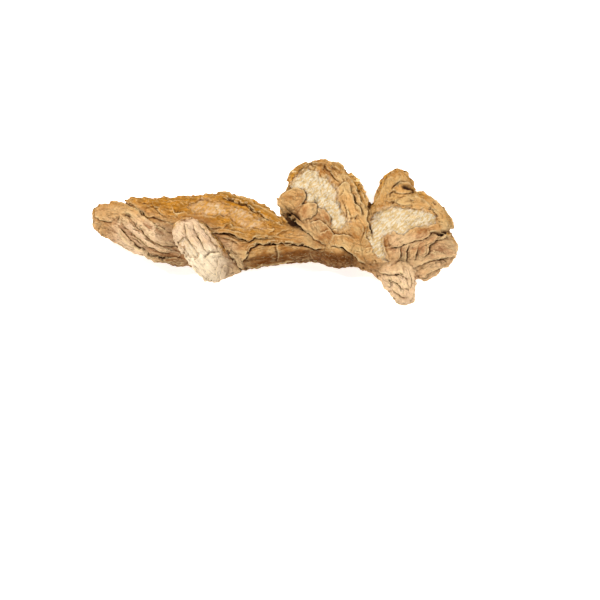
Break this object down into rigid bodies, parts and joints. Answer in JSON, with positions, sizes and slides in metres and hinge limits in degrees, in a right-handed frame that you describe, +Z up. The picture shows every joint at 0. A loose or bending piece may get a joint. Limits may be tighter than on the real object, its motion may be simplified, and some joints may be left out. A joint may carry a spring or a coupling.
{
  "type": "dried ginger root",
  "caption": "Whole dried ginger root: flattened, wrinkled lobes in a row, with a long finger, a short upright finger and broad branches.",
  "frame": {"origin": "middle of the bounding box's footprint, on the surface that the root rests on", "axes": "+X along the root from the long finger to the broad end, +Y towards its upper branches, +Z up from the surface"},
  "size_m": [0.105, 0.0466, 0.0169],
  "materials": {
    "dried_skin": "matt, fibrous and wrinkled"
  },
  "bodies": {
    "root": {"ginger_root": "dried_skin"}
  },
  "joints": []
}
